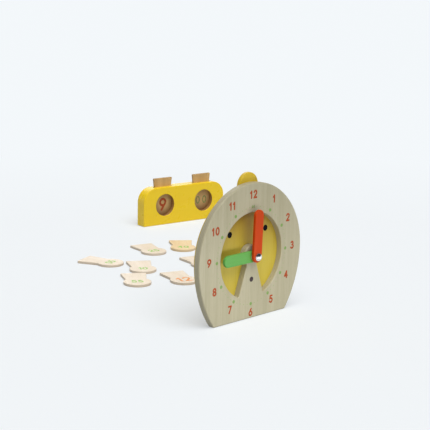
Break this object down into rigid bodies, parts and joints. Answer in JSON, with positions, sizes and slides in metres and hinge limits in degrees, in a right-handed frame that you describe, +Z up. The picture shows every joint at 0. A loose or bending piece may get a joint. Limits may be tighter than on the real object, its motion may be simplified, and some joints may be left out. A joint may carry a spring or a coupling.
{
  "type": "wooden teaching clock set",
  "caption": "Wooden toy teaching clock with two hands moved by hand, beside a block whose round windows show the same time on number tiles, with more tiles lying loose.",
  "frame": {"origin": "middle of the bottom face of the dial plate, on the floor that the set stands on", "axes": "+Z up, -Y out of the dial towards the viewer, +X towards three o'clock"},
  "size_m": [0.55, 0.5525, 0.201],
  "materials": {
    "plate_wood": "clear matt lacquer on pale plywood",
    "face_paint": "yellow stain on plywood",
    "foot_wood": "clear matt lacquer on beech",
    "screw_steel": "zinc plated",
    "bolt_steel": "plated",
    "washer_steel": "plated",
    "washer_nylon": "plain nylon",
    "cap_chrome": "bright",
    "green_paint": "green satin paint on wood",
    "red_paint": "red satin paint on wood",
    "block_paint": "yellow satin paint on wood",
    "block_tile_wood": "clear matt lacquer on plywood",
    "tile_wood": "clear matt lacquer on plywood"
  },
  "bodies": {
    "clock": {"dial_plate": "plate_wood", "face_board": "face_paint", "rear_foot": "foot_wood", "board_screws": "screw_steel", "foot_screws": "screw_steel", "pivot_bolt": "bolt_steel", "rear_washer": "washer_steel", "hub_washer": "washer_nylon", "middle_washer": "washer_nylon", "cap_nut": "cap_chrome"},
    "hour_hand": {"hour_hand": "green_paint"},
    "minute_hand": {"minute_hand": "red_paint"},
    "digital_block": {"block_front": "block_paint", "block_core": "block_paint", "block_back": "block_paint"},
    "hour_tile": {"tile_hour": "block_tile_wood"},
    "minute_tile": {"tile_minute": "block_tile_wood"},
    "loose_tile_1": {"loose_tile_1": "tile_wood"},
    "loose_tile_2": {"loose_tile_2": "tile_wood"},
    "loose_tile_3": {"loose_tile_3": "tile_wood"},
    "loose_tile_4": {"loose_tile_4": "tile_wood"},
    "loose_tile_5": {"loose_tile_5": "tile_wood"},
    "loose_tile_6": {"loose_tile_6": "tile_wood"},
    "loose_tile_7": {"loose_tile_7": "tile_wood"},
    "loose_tile_8": {"loose_tile_8": "tile_wood"}
  },
  "joints": [
    {"name": "hour_hand_turn", "type": "hinge", "parent": "clock", "child": "hour_hand", "pos_m": [0, -0.00775, 0.088], "axis": [0, 1, 0], "continuous": true},
    {"name": "minute_hand_turn", "type": "hinge", "parent": "clock", "child": "minute_hand", "pos_m": [0, -0.01325, 0.088], "axis": [0, 1, 0], "continuous": true},
    {"name": "block_lift", "type": "slide", "parent": "clock", "child": "digital_block", "axis": [0, 0, 1], "range_m": [0, 0.25]},
    {"name": "hour_tile_lift", "type": "slide", "parent": "digital_block", "child": "hour_tile", "axis": [0, 0, 1], "range_m": [0, 0.2]},
    {"name": "minute_tile_lift", "type": "slide", "parent": "digital_block", "child": "minute_tile", "axis": [0, 0, 1], "range_m": [0, 0.2]},
    {"name": "loose_tile_1_lift", "type": "slide", "parent": "clock", "child": "loose_tile_1", "axis": [0, 0, 1], "range_m": [0, 0.25]},
    {"name": "loose_tile_2_lift", "type": "slide", "parent": "clock", "child": "loose_tile_2", "axis": [0, 0, 1], "range_m": [0, 0.25]},
    {"name": "loose_tile_3_lift", "type": "slide", "parent": "clock", "child": "loose_tile_3", "axis": [0, 0, 1], "range_m": [0, 0.25]},
    {"name": "loose_tile_4_lift", "type": "slide", "parent": "clock", "child": "loose_tile_4", "axis": [0, 0, 1], "range_m": [0, 0.25]},
    {"name": "loose_tile_5_lift", "type": "slide", "parent": "clock", "child": "loose_tile_5", "axis": [0, 0, 1], "range_m": [0, 0.25]},
    {"name": "loose_tile_6_lift", "type": "slide", "parent": "clock", "child": "loose_tile_6", "axis": [0, 0, 1], "range_m": [0, 0.25]},
    {"name": "loose_tile_7_lift", "type": "slide", "parent": "clock", "child": "loose_tile_7", "axis": [0, 0, 1], "range_m": [0, 0.25]},
    {"name": "loose_tile_8_lift", "type": "slide", "parent": "clock", "child": "loose_tile_8", "axis": [0, 0, 1], "range_m": [0, 0.25]}
  ]
}
